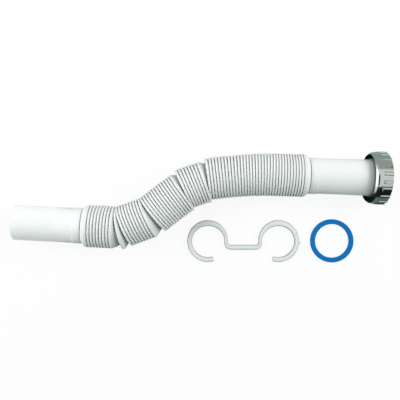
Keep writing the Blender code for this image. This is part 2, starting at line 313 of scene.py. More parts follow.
class MeshKit:
    """Turns arrays of points into named mesh objects."""

    @staticmethod
    def add(name: str, points: np.ndarray, faces: Faces, sharp: float) -> bpy.types.Object:
        """Make a mesh object with outward normals.

        Args:
            name: name of the piece.
            points: its vertices.
            faces: vertex numbers of each face.
            sharp: angle over which an edge is shaded sharp, radians.

        Returns:
            The new object.
        """
        mesh = bpy.data.meshes.new(name)
        mesh.from_pydata([tuple(point) for point in points], [], faces)
        mesh.validate()
        mesh.update()
        mesh.shade_smooth()
        mesh.set_sharp_from_angle(angle=sharp)
        piece = bpy.data.objects.new(name, mesh)
        bpy.context.scene.collection.objects.link(piece)
        return piece

    @staticmethod
    def shade(piece: bpy.types.Object, values: np.ndarray) -> None:
        """Give each vertex a painted shade: 0 on open ground, 1 in a recess or on the clip's sides.

        Args:
            piece: the object.
            values: one number for each vertex.
        """
        layer = piece.data.attributes.new(PAINTED_SHADE_LAYER, "FLOAT", "POINT")
        layer.data.foreach_set("value", values.astype(np.float32))

    @staticmethod
    def loft(rings: Rings, closed: bool) -> tuple[np.ndarray, Faces]:
        """Join successive rings with quads.

        Args:
            rings: equal rings of points.
            closed: whether the last ring joins the first, or both ends are capped.

        Returns:
            Points and faces.
        """
        count = len(rings[0])
        points = np.concatenate(rings)
        faces = []
        for index in range(len(rings) if closed else len(rings) - 1):
            here, there = index * count, ((index + 1) % len(rings)) * count
            for corner in range(count):
                after = (corner + 1) % count
                faces.append((here + corner, there + corner, there + after, here + after))
        if not closed:
            faces.append(tuple(range(count)))
            faces.append(tuple(range(len(points) - 1, len(points) - count - 1, -1)))
        return points, faces


def ride(piece: bpy.types.Object, body: Body, material: bpy.types.Material) -> None:
    """Give a piece its finish and its body.

    Args:
        piece: the finished object.
        body: rigid body it moves with.
        material: its material.
    """
    piece.data.materials.append(material)
    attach(piece, body.value)


class Graph:
    """Short forms for building a node tree."""

    def __init__(self, tree: bpy.types.NodeTree) -> None:
        """Wrap a tree.

        Args:
            tree: node tree of a material, world or group.
        """
        self.tree = tree

    def node(self, kind: str, settings: dict | None = None, **inputs: Wire) -> bpy.types.Node:
        """Add a node.

        Args:
            kind: node type without the ShaderNode prefix.
            settings: properties of the node itself.
            inputs: values or sockets, by socket name with _ for a space, or in0, in1 by place.

        Returns:
            The node.
        """
        made = self.tree.nodes.new("ShaderNode" + kind)
        for key, value in (settings or {}).items():
            setattr(made, key, value)
        for key, value in inputs.items():
            by_place = key[:2] == "in" and key[2:].isdigit()
            socket = made.inputs[int(key[2:]) if by_place else key.replace("_", " ")]
            if isinstance(value, bpy.types.NodeSocket):
                self.tree.links.new(value, socket)
            else:
                socket.default_value = value
        return made

    def math(self, operation: str, first: Wire, second: Wire = 0.0) -> bpy.types.NodeSocket:
        """Add a math node.

        Args:
            operation: name of the operation.
            first: value or socket.
            second: value or socket.

        Returns:
            Its output.
        """
        return self.node("Math", {"operation": operation}, in0=first, in1=second).outputs[0]

    def shade(self) -> bpy.types.NodeSocket:
        """Return the painted shade that the mesh carries, 0 to 1."""
        return self.node("Attribute", {"attribute_name": PAINTED_SHADE_LAYER}).outputs["Fac"]

    def mix(self, factor: Wire, first: Wire, second: Wire) -> bpy.types.NodeSocket:
        """Mix two colours.

        Args:
            factor: share of the second colour.
            first: colour or socket.
            second: colour or socket.

        Returns:
            The mixed colour.
        """
        return self.node("Mix", {"data_type": "RGBA"}, in0=factor, in6=first, in7=second).outputs[2]

    def span(
        self, value: Wire, low: float, high: float, to_low: float, to_high: float
    ) -> bpy.types.NodeSocket:
        """Map a range to another, clamped.

        Args:
            value: socket to map.
            low: start of its range.
            high: end of its range.
            to_low: result at the start.
            to_high: result at the end.

        Returns:
            The mapped value.
        """
        ranged = self.node("MapRange", None, in0=value, in1=low, in2=high, in3=to_low, in4=to_high)
        return ranged.outputs[0]


def group(
    name: str, inputs: dict[str, float], outputs: dict[str, str]
) -> tuple[bpy.types.NodeTree, Graph]:
    """Start a shader node group.

    Args:
        name: its name.
        inputs: float inputs and their default values.
        outputs: outputs and their socket types.

    Returns:
        The group's tree and a graph on it, with its input and output nodes added.
    """
    tree = bpy.data.node_groups.new(name, "ShaderNodeTree")
    for key, value in inputs.items():
        socket = tree.interface.new_socket(key, in_out="INPUT", socket_type="NodeSocketFloat")
        socket.default_value = value
    for key, kind in outputs.items():
        tree.interface.new_socket(key, in_out="OUTPUT", socket_type=kind)
    tree.nodes.new("NodeGroupInput")
    tree.nodes.new("NodeGroupOutput")
    return tree, Graph(tree)


class Effects:
    """Node groups that several materials share."""

    def __init__(self) -> None:
        """Build the groups."""
        self.moulded = self._moulded_skin()

    def _moulded_skin(self) -> bpy.types.NodeTree:
        """A skin with fine grain, slow unevenness and faint clouds of wear.

        Returns:
            The group: Grain Scale, Wave Scale and Wave Share in, Height and Clouds out.
        """
        tree, graph = group(
            "moulded_skin",
            {"Grain Scale": 1200.0, "Wave Scale": 60.0, "Wave Share": 0.7},
            {"Height": "NodeSocketFloat", "Clouds": "NodeSocketFloat"},
        )
        entry, leave = tree.nodes["Group Input"].outputs, tree.nodes["Group Output"].inputs
        place = graph.node("TexCoord").outputs["Object"]
        grain = graph.node("TexNoise", None, Vector=place, Scale=entry["Grain Scale"], Detail=2.0)
        wave = graph.node("TexNoise", None, Vector=place, Scale=entry["Wave Scale"], Detail=3.0)
        share = graph.node(
            "Mix", {"data_type": "FLOAT"},
            in0=entry["Wave Share"], in2=grain.outputs[0], in3=wave.outputs[0],
        )
        tree.links.new(share.outputs[0], leave["Height"])
        clouds = graph.node("TexNoise", None, Vector=place, Scale=22.0, Detail=4.0, Roughness=0.6)
        tree.links.new(graph.span(clouds.outputs[0], 0.3, 0.7, 0.0, 1.0), leave["Clouds"])
        return tree

    def place(self, graph: Graph, tree: bpy.types.NodeTree, **values: float) -> bpy.types.Node:
        """Put a group into a material.

        Args:
            graph: the material's graph.
            tree: the group.
            values: its inputs, with _ for a space.

        Returns:
            The group node.
        """
        made = graph.node("Group", {"node_tree": tree})
        for key, value in values.items():
            made.inputs[key.replace("_", " ")].default_value = value
        return made


def start_material(name: str) -> tuple[bpy.types.Material, Graph, bpy.types.Node]:
    """Start a node material.

    Args:
        name: its name.

    Returns:
        The material, a graph on its tree and its Principled node.
    """
    material = bpy.data.materials.new(name)
    material.use_nodes = True
    return material, Graph(material.node_tree), material.node_tree.nodes["Principled BSDF"]


@dataclass(frozen=True)
class Finish:
    """A moulded or plated skin whose colour drifts in clouds and turns to another in painted shade.

    name: the material's name. colour, worn: the clouds' two colours. worn_share: the most that the
    second one takes. painted_shade: the colour under full painted shade, if the mesh carries any.
    roughness: at the clouds' two ends. grain, wave, wave_share: the skin's fine and slow
    unevenness, and the slow one's share. bump, bump_height: how strongly and how high it shows.
    plain: sockets that are the same all over, with their values.
    """

    name: str
    colour: Colour
    worn: Colour
    worn_share: float
    painted_shade: Colour | None
    roughness: tuple[float, float]
    grain: float
    wave: float
    wave_share: float
    bump: float
    bump_height: float
    plain: tuple[tuple[str, float | Corner], ...]

    def make(self, effects: Effects) -> bpy.types.Material:
        """Build the material.

        Args:
            effects: shared node groups.

        Returns:
            The material.
        """
        material, graph, shader = start_material(self.name)
        links = material.node_tree.links
        skin = effects.place(
            graph, effects.moulded,
            Grain_Scale=self.grain, Wave_Scale=self.wave, Wave_Share=self.wave_share,
        )
        clouds, height = skin.outputs["Clouds"], skin.outputs["Height"]
        share = graph.span(clouds, 0.0, 1.0, 0.0, self.worn_share)
        colour = graph.mix(share, self.colour, self.worn)
        # Painted shade: the mesh's painted shade layer turns the colour towards painted_shade.
        if self.painted_shade:
            colour = graph.mix(graph.shade(), colour, self.painted_shade)
        links.new(colour, shader.inputs["Base Color"])
        links.new(graph.span(clouds, 0.0, 1.0, *self.roughness), shader.inputs["Roughness"])
        bump = graph.node(
            "Bump", None, Strength=self.bump, Distance=self.bump_height, Height=height
        )
        links.new(bump.outputs[0], shader.inputs["Normal"])
        for socket, value in self.plain:
            shader.inputs[socket].default_value = value
        return material


@dataclass(frozen=True)
class WhitePlastic(Finish):
    """Satin white polypropylene of the hose, with a dark painted shade in its folds."""

    name: str = Slot.WHITE_PLASTIC.value
    colour: Colour = (0.90, 0.90, 0.89, 1.0)
    worn: Colour = (0.85, 0.87, 0.86, 1.0)
    worn_share: float = 0.35
    # Colour of the painted shade in the folds, the grooves, the bore and the nut's painted shadow.
    painted_shade: Colour | None = (0.11, 0.16, 0.155, 1.0)
    roughness: tuple[float, float] = (0.34, 0.46)
    grain: float = 1500.0
    wave: float = 70.0
    wave_share: float = 0.75
    bump: float = 0.07
    bump_height: float = 0.0004
    plain: tuple[tuple[str, float | Corner], ...] = (
        ("Subsurface Weight", 0.05),
        ("Subsurface Radius", (0.0012, 0.0014, 0.0013)),
        ("Subsurface Scale", 1.0),
        ("IOR", 1.49),
    )


@dataclass(frozen=True)
class DarkChrome(Finish):
    """Chrome plating of the nut, with painted shade that darkens its reflections on the back face.
    """

    name: str = Slot.DARK_CHROME.value
    colour: Colour = (0.60, 0.62, 0.60, 1.0)
    worn: Colour = (0.48, 0.52, 0.50, 1.0)
    worn_share: float = 1.0
    # Colour of the painted shade on the back face.
    painted_shade: Colour | None = (0.15, 0.17, 0.16, 1.0)
    roughness: tuple[float, float] = (0.10, 0.20)
    grain: float = 900.0
    wave: float = 160.0
    wave_share: float = 0.8
    bump: float = 0.10
    bump_height: float = 0.0003
    plain: tuple[tuple[str, float | Corner], ...] = (("Metallic", 1.0),)


@dataclass(frozen=True)
class BlueRubber(Finish):
    """Smooth blue elastomer of the washer."""

    name: str = Slot.BLUE_RUBBER.value
    colour: Colour = (0.0, 0.150, 0.47, 1.0)
    worn: Colour = (0.004, 0.172, 0.505, 1.0)
    worn_share: float = 1.0
    painted_shade: Colour | None = None
    roughness: tuple[float, float] = (0.42, 0.58)
    grain: float = 2200.0
    wave: float = 300.0
    wave_share: float = 0.4
    bump: float = 0.25
    bump_height: float = 0.0003
    plain: tuple[tuple[str, float | Corner], ...] = (("Specular IOR Level", 0.2),)


@dataclass(frozen=True)
class ClearPlastic(Finish):
    """Natural, slightly see-through polypropylene of the clip, with painted shade on its sides."""

    name: str = Slot.CLEAR_PLASTIC.value
    colour: Colour = (0.91, 0.93, 0.92, 1.0)
    worn: Colour = (0.86, 0.89, 0.88, 1.0)
    worn_share: float = 1.0
    # Colour of the painted shade on the clip's sides.
    painted_shade: Colour | None = (0.40, 0.45, 0.44, 1.0)
    roughness: tuple[float, float] = (0.18, 0.30)
    grain: float = 1500.0
    wave: float = 220.0
    wave_share: float = 0.8
    bump: float = 0.08
    bump_height: float = 0.0003
    plain: tuple[tuple[str, float | Corner], ...] = (("Transmission Weight", 0.12), ("IOR", 1.49))


class Hose:
    """The bellows hose, whose rings carry a painted shade that deepens into the folds."""

    TIP_ANGLES = tuple(math.radians(angle) for angle in (-72.0, -36.0, 0.0, 36.0, 72.0))
    LIP_PARTS = (0.15, 0.5, 1.0)
    SPIGOT_PARTS = (0.1, 0.3, 0.5, 0.7, 0.85)
    SHOULDER_PARTS = (0.3, 0.45, 0.6, 0.75, 0.87)
    STEP_PARTS = (-1.0, -0.4, 0.4, 1.0)
    # Parts of the outlet cuff's length with the painted shade there: faint along the cuff,
    # then a painted shadow of the nut that deepens towards it.
    CUFF_SHADES = ((0.25, 0.03), (0.5, 0.03), (0.75, 0.04), (0.82, 0.09), (0.87, 0.2), (0.91, 0.42))
    # Faint painted shade on the outlet collar and on each shoulder's collar ring.
    COLLAR_SHADE = 0.03
    SHOULDER_SHADE = 0.05
    # Painted shade inside the bore: lighter at the spigot's lip and the outlet's face, deeper
    # between.
    BORE_SHADES = ((0.0, 0.12), 0.42, (0.25, 0.08))
    # Painted shade by whether the fold stands open: faint on the crests, deepest on the valley
    # floors.
    TIP_SHADES = {True: 0.06, False: 0.30}
    FLANK_SHADES = {True: 0.26, False: 1.0}
    FLOOR_SHADES = {True: 0.74, False: 1.0}
    END_GAP = 1.0

    def __init__(self, spec: HoseSpec, nut_radius: float, shift: Vector) -> None:
        """Lay out the centre line.

        Args:
            spec: sizes.
            nut_radius: height of the axis at the nut.
            shift: the solids' place relative to the layout numbers.
        """
        self.spec = spec
        self.nut_radius = nut_radius
        start = Vector((spec.start[0] + shift.x, spec.start[1] + shift.y, spec.crest_radius))
        self.start = Station(start, spec.heading)
        self.root = self.start.moved(spec.spigot_length)
        self.opened: list[bool] = []
        self.crests = self._crests(self.root.moved(spec.spigot_shoulder))
        self.bases = [crest.ring(spec.sides, spec.crest_radius) for crest in self.crests]
        self.floors = self._floors()
        self.shoulder = self.crests[-1].moved(spec.outlet_shoulder)
        self.face = self.shoulder.moved(spec.outlet_length)

    def _slope(self) -> float:
        """Work out how steeply the last folds climb.

        Returns:
            The slope that lifts the axis from the folds' radius to the nut's, radians.
        """
        steered = sum(s.folds * s.pitch for s in self.spec.stretches if s.climb)
        level, sloping = 0.0, 0.0
        for stretch in self.spec.stretches:
            if level and not stretch.climb:
                sloping += stretch.folds * stretch.pitch
            level += stretch.climb
        return math.asin((self.nut_radius - self.spec.crest_radius) / (steered / 2 + sloping))

    def _crests(self, first: Station) -> list[Station]:
        """Lay out the crests, and note which folds stand open.

        Args:
            first: station of the first crest.

        Returns:
            The station of every crest.
        """
        slope = self._slope()
        stations = [first]
        for stretch in self.spec.stretches:
            turn = math.radians(stretch.turn) / stretch.folds
            rise = slope * stretch.climb / stretch.folds
            advance = stretch.pitch
            if stretch.opened:
                advance += abs(turn) * self.spec.crest_radius
            for _ in range(stretch.folds):
                self.opened.append(stretch.opened)
                stations.append(stations[-1].moved(advance, turn, rise, math.radians(stretch.slip)))
        return stations

    def _tip(self, index: int) -> Rings:
        """Round one crest.

        Args:
            index: number of the crest.

        Returns:
            The rings over it, narrower where the next crest is close.
        """
        spec, station, bases = self.spec, self.crests[index], self.bases
        spokes = station.spokes(spec.sides)
        along = np.array(station.along)
        rings = []
        for angle in self.TIP_ANGLES:
            other = index - 1 if angle < 0 else index + 1
            other = min(max(other, 0), len(bases) - 1)
            gap = np.linalg.norm(bases[other] - bases[index], axis=1)
            if other == index:
                gap = np.full(spec.sides, self.END_GAP)
            half = np.minimum(spec.crest_half_width, gap * spec.crest_gap_share)
            ahead = (half * math.sin(angle))[:, None] * along
            drop = spec.crest_round * (1 - math.cos(angle))
            rings.append(bases[index] + ahead - spokes * drop)
        return rings

    def _floors(self) -> Rings:
        """Lay out the floor of every valley.

        A closed fold's first flank slants ahead under the next crest, as far as the valley ahead of
        it leaves room, and an opened fold's valley lies past the middle.

        Returns:
            One ring for each fold.
        """
        spec = self.spec
        floors = []
        room = np.full(spec.sides, self.END_GAP)
        for index in reversed(range(len(self.crests) - 1)):
            crest, near, far = self.crests[index], self.bases[index], self.bases[index + 1]
            across = far - near
            gap = np.linalg.norm(across, axis=1)
            share = 0.5 + spec.valley_lean * np.maximum(0.0, 1.0 - spec.closed_pitch / gap)
            reach = share * gap
            if self.opened[index]:
                axis = np.array(crest.centre + self.crests[index + 1].centre) / 2
                inward = axis - (near + far) / 2
                inward /= np.linalg.norm(inward, axis=1)[:, None]
                floors.append(near + across * share[:, None] + inward * spec.fold_depth)
            else:
                nested = np.minimum(spec.nest_reach, gap + room - spec.nest_margin)
                reach = np.maximum(reach, nested)
                floors.append(near + np.outer(reach, np.array(crest.along))
                              - crest.spokes(spec.sides) * spec.fold_depth)
            room = reach
        return floors[::-1]

    def _shoulder(self, station: Station, crest: Station, sign: int) -> list[Shaded]:
        """Round the shoulder between a plain end and the folds, with a groove at its foot.

        Args:
            station: where the plain end stops.
            crest: the first or last crest.
            sign: 1 if the crest lies ahead of the plain end, -1 if behind it.

        Returns:
            Its rings, from the plain end towards the folds.
        """
        spec, sides = self.spec, self.spec.sides
        collar = spec.cuff_radius + spec.collar_step
        length = (crest.centre - station.centre).length
        depth, width = spec.groove_depth, spec.groove_width
        # Painted shade: faint on the collar ring, full in the groove.
        rings = [
            (station.ring(sides, collar), self.SHOULDER_SHADE),
            (station.ring(sides, collar - depth, sign * spec.groove_slope), 1.0),
            (station.ring(sides, collar - depth, sign * width * spec.groove_floor_share), 1.0),
        ]
        rise = spec.crest_radius - collar
        for part in (width / length, *self.SHOULDER_PARTS):
            radius = collar + rise * math.sin(part * math.pi / 2)
            rings.append((station.ring(sides, radius, sign * length * part), 0.0))
        return rings

    def _folds(self) -> list[Shaded]:
        """Join the crests by their valleys.

        Returns:
            The rings from the first crest to the last.
        """
        spec, rings, last = self.spec, [], len(self.opened) - 1
        for index in range(len(self.crests)):
            tip = self._tip(index)
            behind = self.TIP_SHADES[self.opened[max(index - 1, 0)]]
            ahead = self.TIP_SHADES[self.opened[min(index, last)]]
            rings += list(zip(tip, (behind, 0.0, 0.0, 0.0, ahead)))
            if index > last:
                break
            floor, opened = self.floors[index], self.opened[index]
            half = (self.bases[index + 1] - self.bases[index]) * spec.valley_half_share
            bulge = self.crests[index].spokes(spec.sides) * spec.flank_bulge
            # Painted shade down the flanks and over the valley's floor.
            flank, painted_shade = self.FLANK_SHADES[opened], self.FLOOR_SHADES[opened]
            rings += [
                ((tip[-1] + floor) / 2 + bulge, flank),
                (floor - half, painted_shade),
                (floor + half, painted_shade),
                ((self._tip(index + 1)[0] + floor) / 2 + bulge, flank),
            ]
        return rings

    def _lip_and_spigot(self) -> Rings:
        """Round the spigot's lip and draw the spigot out to its collar.

        Returns:
            The rings, from the lip on.
        """
        spec, start, sides = self.spec, self.start, self.spec.sides
        rings = [start.ring(sides, spec.cuff_radius - spec.lip)]
        for part in self.LIP_PARTS:
            turn = part * math.pi / 2
            radius = spec.cuff_radius - spec.lip * (1 - math.sin(turn))
            rings.append(start.ring(sides, radius, spec.lip * (1 - math.cos(turn))))
        for part in self.SPIGOT_PARTS:
            rings.append(start.ring(sides, spec.cuff_radius, spec.spigot_length * part))
        return rings

    def _flange(self) -> Rings:
        """Step out to the flange that the nut pulls on.

        Returns:
            Its rings, from the cuff to the flange's face.
        """
        spec, sides, edge = self.spec, self.spec.sides, self.spec.edge
        behind, reach = -spec.flange_thickness, spec.flange_radius
        outline = (
            (spec.cuff_radius + spec.flare, behind), (reach - edge, behind), (reach, behind + edge),
            (reach, -edge), (reach - edge, 0.0),
        )
        return [self.face.ring(sides, radius, offset) for radius, offset in outline]

    def outer_rings(self) -> list[Shaded]:
        """Draw the outer skin.

        Returns:
            Its rings, from the spigot's lip to the flange's face.
        """
        spec, sides = self.spec, self.spec.sides
        radius, collar = spec.cuff_radius, spec.cuff_radius + spec.collar_step
        rings = self._lip_and_spigot()
        rings += self._step(self.root, radius, collar, -spec.collar_length)
        rings += self._beads(self.root, -1)
        skin = [(ring, 0.0) for ring in rings]
        skin += self._shoulder(self.root, self.crests[0], 1)
        skin += self._folds()
        skin += self._shoulder(self.shoulder, self.crests[-1], -1)[::-1]
        rings = self._beads(self.shoulder, 1)
        rings += self._step(self.shoulder, collar, radius, spec.collar_length)
        # The outlet collar carries a faint painted shade.
        skin += [(ring, self.COLLAR_SHADE) for ring in rings]
        # Painted shade on the outlet cuff, faint at first, then the nut's painted shadow.
        for part, shade in self.CUFF_SHADES:
            flared = radius + spec.flare * part ** 2
            skin.append((self.shoulder.ring(sides, flared, spec.outlet_length * part), shade))
        return skin + [(ring, 0.0) for ring in self._flange()]

    def _beads(self, station: Station, sign: int) -> Rings:
        """Draw two fine beads round a collar.

        Args:
            station: where the collar meets the shoulder.
            sign: 1 if the collar lies ahead of the station, -1 if behind it.

        Returns:
            Their rings, in order along the pipe.
        """
        spec = self.spec
        collar, half = spec.cuff_radius + spec.collar_step, spec.bead_half_width
        rings = []
        for place in spec.bead_places:
            for offset, height in ((-half, 0.0), (0.0, spec.bead_height), (half, 0.0)):
                rings.append((sign * (place + sign * offset), collar + height))
        rings.sort()
        return [station.ring(spec.sides, radius, place) for place, radius in rings]

    def _step(self, station: Station, first: float, second: float, offset: float) -> Rings:
        """Draw a soft step from one radius to another.

        Args:
            station: where it is measured from.
            first: radius before it.
            second: radius after it.
            offset: distance from the station to its middle.

        Returns:
            Its rings.
        """
        rings = []
        for part in self.STEP_PARTS:
            share = 0.5 + 0.5 * math.sin(part * math.pi / 2)
            radius = first + (second - first) * share
            place = offset + self.spec.collar_step * part
            rings.append(station.ring(self.spec.sides, radius, place))
        return rings

    def inner_rings(self) -> Rings:
        """Draw the bore, which follows the folds one wall inside them.

        Returns:
            Its rings, from the spigot's lip to the flange's face.
        """
        spec, sides = self.spec, self.spec.sides
        bore = spec.cuff_radius - spec.cuff_wall
        rings = [
            self.start.ring(sides, bore + spec.edge),
            self.start.ring(sides, bore, spec.edge),
            self.root.ring(sides, bore),
        ]
        ridge = spec.inner_ridge_share
        for index, crest in enumerate(self.crests):
            base, spokes = self.bases[index], crest.spokes(sides)
            before = self.floors[max(index - 1, 0)]
            after = self.floors[min(index, len(self.floors) - 1)]
            if 0 < index < len(self.floors):
                rings.append(base + ((before - base) + (after - base)) * ridge / 2)
            else:
                rings.append(base - spokes * spec.fold_depth * ridge)
            if index < len(self.floors):
                shift = np.array(crest.along) * spec.inner_valley_shift
                rings.append(self.floors[index] - spokes * spec.valley_wall + shift)
        rings.append(self.shoulder.ring(sides, bore))
        rings.append(self.face.ring(sides, bore))
        return rings

    def build(self, material: bpy.types.Material) -> bpy.types.Object:
        """Build the hose.

        Args:
            material: its finish.

        Returns:
            The hose.
        """
        bore = self.inner_rings()
        # Painted shade on the bore.
        entry, middle, leave = self.BORE_SHADES
        shades = [*entry, *[middle] * (len(bore) - len(entry) - len(leave)), *leave]
        skin = self.outer_rings() + list(zip(bore, shades))[::-1]
        points, faces = MeshKit.loft([ring for ring, _ in skin], closed=True)
        hose = MeshKit.add("corrugated_hose", points, faces, sharp=math.radians(50.0))
        # Painted shade, one value for each ring, which darkens the hose's colour.
        MeshKit.shade(hose, np.repeat([shade for _, shade in skin], self.spec.sides))
        ride(hose, Body.ROOT, material)
        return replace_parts(hose, "bellows_hose")


class SlipNut:
    """The slip nut on the outlet cuff."""

    # Heights above the ribs' foot with the share of the rib's height there.
    RIB_FOOT = ((0.0009, 0.0), (0.0011, 0.45), (0.0013, 0.9), (0.0018, 1.0))
    RIB_END_SHARE = 0.9
    EDGE_PARTS = 5
    BEVEL_EDGE_PARTS = (0.25, 0.5, 0.75, 1.0)
    BEVEL_PARTS = (0.33, 0.67, 1.0)
    BEVEL_ROUND_PARTS = (0.1, 0.25, 0.4, 0.55, 0.7, 0.85, 1.0)
    # Painted shade of the first rings, from the hole over the back face onto the bevel:
    # it darkens the chrome's reflections there.
    BACK_SHADES = (1.0, 1.0, 1.0, 1.0, 1.0, 0.7, 0.4, 0.2)
    THREAD_STEPS = 8
    THREAD_FADE = 6

    def __init__(self, spec: NutSpec, hose: HoseSpec) -> None:
        """Derive the nut's radii.

        Args:
            spec: the nut's sizes.
            hose: the hose's sizes, which set the bore.
        """
        self.spec = spec
        self.hole = hose.cuff_radius + hose.flare + spec.bore_gap
        self.thread = hose.flange_radius + spec.flange_play
        self.rim = self.thread + spec.wall
        self.back_offset = -hose.flange_thickness - spec.running_gap - spec.back_wall

    @property
    def outer_radius(self) -> float:
        """Radius over the ribs."""
        return self.rim + self.spec.rib_height

    def _bevel(self) -> Outline:
        """Draw the back edge: a tight bend, the bevel, and a soft bend into the rim.

        Returns:
            Its outline as (rise, run), from the back face on.
        """
        spec = self.spec
        steep, across = spec.bevel_angle, spec.bevel_width
        soft, tight = spec.bevel_round, spec.bevel_edge
        bevel = [(0.0, 0.0)]
        for part in self.BEVEL_EDGE_PARTS:
            turn = math.pi / 2 - (math.pi / 2 - steep) * part
            bevel.append((tight * math.cos(turn), tight * (1 - math.sin(turn))))
        low = bevel[-1]
        for part in self.BEVEL_PARTS:
            away = across * part
            bevel.append((low[0] + away * math.sin(steep), low[1] + away * math.cos(steep)))
        low = bevel[-1]
        for part in self.BEVEL_ROUND_PARTS:
            turn = steep * (1 - part)
            bevel.append((
                low[0] + soft * (math.cos(turn) - math.cos(steep)),
                low[1] + soft * (math.sin(steep) - math.sin(turn)),
            ))
        return bevel

    def _section(self) -> list[tuple[float, float, float]]:
        """Draw the outer skin's outline.

        Returns:
            Points as (radius, height, rib share), from the hole over the back face to the front.
        """
        spec = self.spec
        edge, hole, corner = spec.edge, self.hole, spec.hole_edge
        crown = spec.length - edge
        foot = crown - spec.rib_length
        outline = [
            (hole, corner, 0.0), (hole + corner / 3, corner / 3, 0.0), (hole + corner, 0.0, 0.0),
        ]
        bevel = self._bevel()
        inner = self.rim - bevel[-1][0]
        outline.append((inner - spec.back_flat, 0.0, 0.0))
        outline += [(inner + rise, run, 0.0) for rise, run in bevel]
        outline.append((self.rim, foot - spec.rib_foot_gap, 0.0))
        outline += [(self.rim, foot + height, share) for height, share in self.RIB_FOOT]
        outline += [
            (self.rim, (foot + crown) / 2, 1.0), (self.rim, crown - spec.rib_crown_gap, 1.0),
        ]
        for part in range(1, self.EDGE_PARTS + 1):
            turn = part / self.EDGE_PARTS * math.pi / 2
            radius = self.rim - edge * (1 - math.cos(turn))
            share = math.cos(turn) * self.RIB_END_SHARE
            outline.append((radius, crown + edge * math.sin(turn), share))
        return outline

    def _bore(self, angle: np.ndarray) -> list[tuple[Number, float]]:
        """Draw the bore with its thread, which fades in and out.

        Args:
            angle: angles of the ring's corners.

        Returns:
            Its outline as (radius, height), from the front face back to the hole.
        """
        spec = self.spec
        front = spec.length - spec.edge
        outline = [(self.thread + spec.edge, spec.length), (self.thread + spec.thread_gap, front)]
        turns = (front - spec.back_wall - spec.thread_clear) / spec.thread_pitch
        steps = int(turns * self.THREAD_STEPS)
        for index in range(1, steps + 1):
            back = index / self.THREAD_STEPS * spec.thread_pitch
            phase = (back / spec.thread_pitch + angle / (2 * math.pi)) % 1.0
            fade = min(1.0, index / self.THREAD_FADE, (steps - index) / self.THREAD_FADE)
            tooth = (np.abs(phase * 2 - 1) - 0.5) * spec.thread_depth * fade
            outline.append((self.thread + tooth, front - back))
        return outline + [(self.thread, spec.back_wall), (self.hole, spec.back_wall)]

    def _ribs(self, angle: np.ndarray) -> np.ndarray:
        """Work out how far the grip ribs stand out.

        Args:
            angle: angles of the ring's corners.

        Returns:
            The height of the ribs at each corner.
        """
        spec = self.spec
        step = 2 * math.pi / spec.rib_count
        away = np.abs((angle - spec.rib_phase + step / 2) % step - step / 2) * self.rim
        share = np.clip((spec.rib_width / 2 - away) / spec.rib_slope + 0.5, 0.0, 1.0)
        return share * share * (3 - 2 * share) * spec.rib_height

    def build(self, face: Station, material: bpy.types.Material) -> bpy.types.Object:
        """Build the nut.

        Args:
            face: the flange's face.
            material: its finish.

        Returns:
            The nut.
        """
        count = self.spec.rib_count * self.spec.samples_per_rib
        angle = 2 * math.pi * np.arange(count) / count
        seat = face.moved(self.back_offset)
        centre, above, right, along = (
            np.array(vector) for vector in (seat.centre, seat.above, -seat.side, seat.along)
        )
        spokes = np.outer(np.cos(angle), above) + np.outer(np.sin(angle), right)
        ribs = self._ribs(angle)
        outline = [(radius + ribs * share, height) for radius, height, share in self._section()]
        rings = []
        for radius, height in outline + self._bore(angle):
            rings.append(centre + spokes * np.broadcast_to(radius, count)[:, None] + along * height)
        points, faces = MeshKit.loft(rings, closed=True)
        nut = MeshKit.add("chrome_slip_nut", points, faces, sharp=math.radians(38.0))
        # Painted shade on the hole and back face, which darkens their reflections.
        shades = [*self.BACK_SHADES, *[0.0] * (len(rings) - len(self.BACK_SHADES))]
        MeshKit.shade(nut, np.repeat(shades, count))
        ride(nut, Body.NUT, material)
        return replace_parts(nut, "slip_nut")


def rounded_section(width: float, height: float, edge: float, parts: int) -> Outline:
    """Draw a rectangle with rounded corners, level on the floor.

    Args:
        width: its width.
        height: its height.
        edge: radius of its corners.
        parts: steps in each corner.

    Returns:
        Its outline as (distance from the middle, distance above half the height).
    """
    outline = []
    for corner, (across, up) in enumerate(((1, 1), (-1, 1), (-1, -1), (1, -1))):
        for part in range(parts + 1):
            turn = (corner + part / parts) * math.pi / 2
            outline.append((
                across * (width / 2 - edge) + edge * math.cos(turn),
                up * (height / 2 - edge) + edge * math.sin(turn),
            ))
    return outline


class Washer:
    """The sealing washer on the floor."""

    CORNER_PARTS = 4

    def __init__(self, spec: WasherSpec, hose: HoseSpec) -> None:
        """Derive the washer's radii.

        Args:
            spec: the washer's sizes.
            hose: the hose's sizes, which set the hole.
        """
        self.spec = spec
        self.inner = hose.cuff_radius + spec.bore_gap
        self.outer = self.inner + spec.band

    def build(self, centre: Vector, material: bpy.types.Material) -> bpy.types.Object:
        """Build the washer.

        Args:
            centre: its place on the floor.
            material: its finish.

        Returns:
            The washer.
        """
        spec = self.spec
        middle, width = (self.inner + self.outer) / 2, self.outer - self.inner
        angle = 2 * math.pi * np.arange(spec.sides) / spec.sides
        spokes = np.stack([np.cos(angle), np.sin(angle), np.zeros(spec.sides)], axis=1)
        rings = []
        for across, up in rounded_section(width, spec.thickness, spec.edge, self.CORNER_PARTS):
            place = np.array((centre.x, centre.y, spec.thickness / 2 + up))
            rings.append(place + spokes * (middle + across))
        points, faces = MeshKit.loft(rings, closed=True)
        washer = MeshKit.add("blue_sealing_washer", points, faces, sharp=math.radians(60.0))
        washer.visible_glossy = False
        ride(washer, Body.ROOT, material)
        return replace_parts(washer, "sealing_washer")


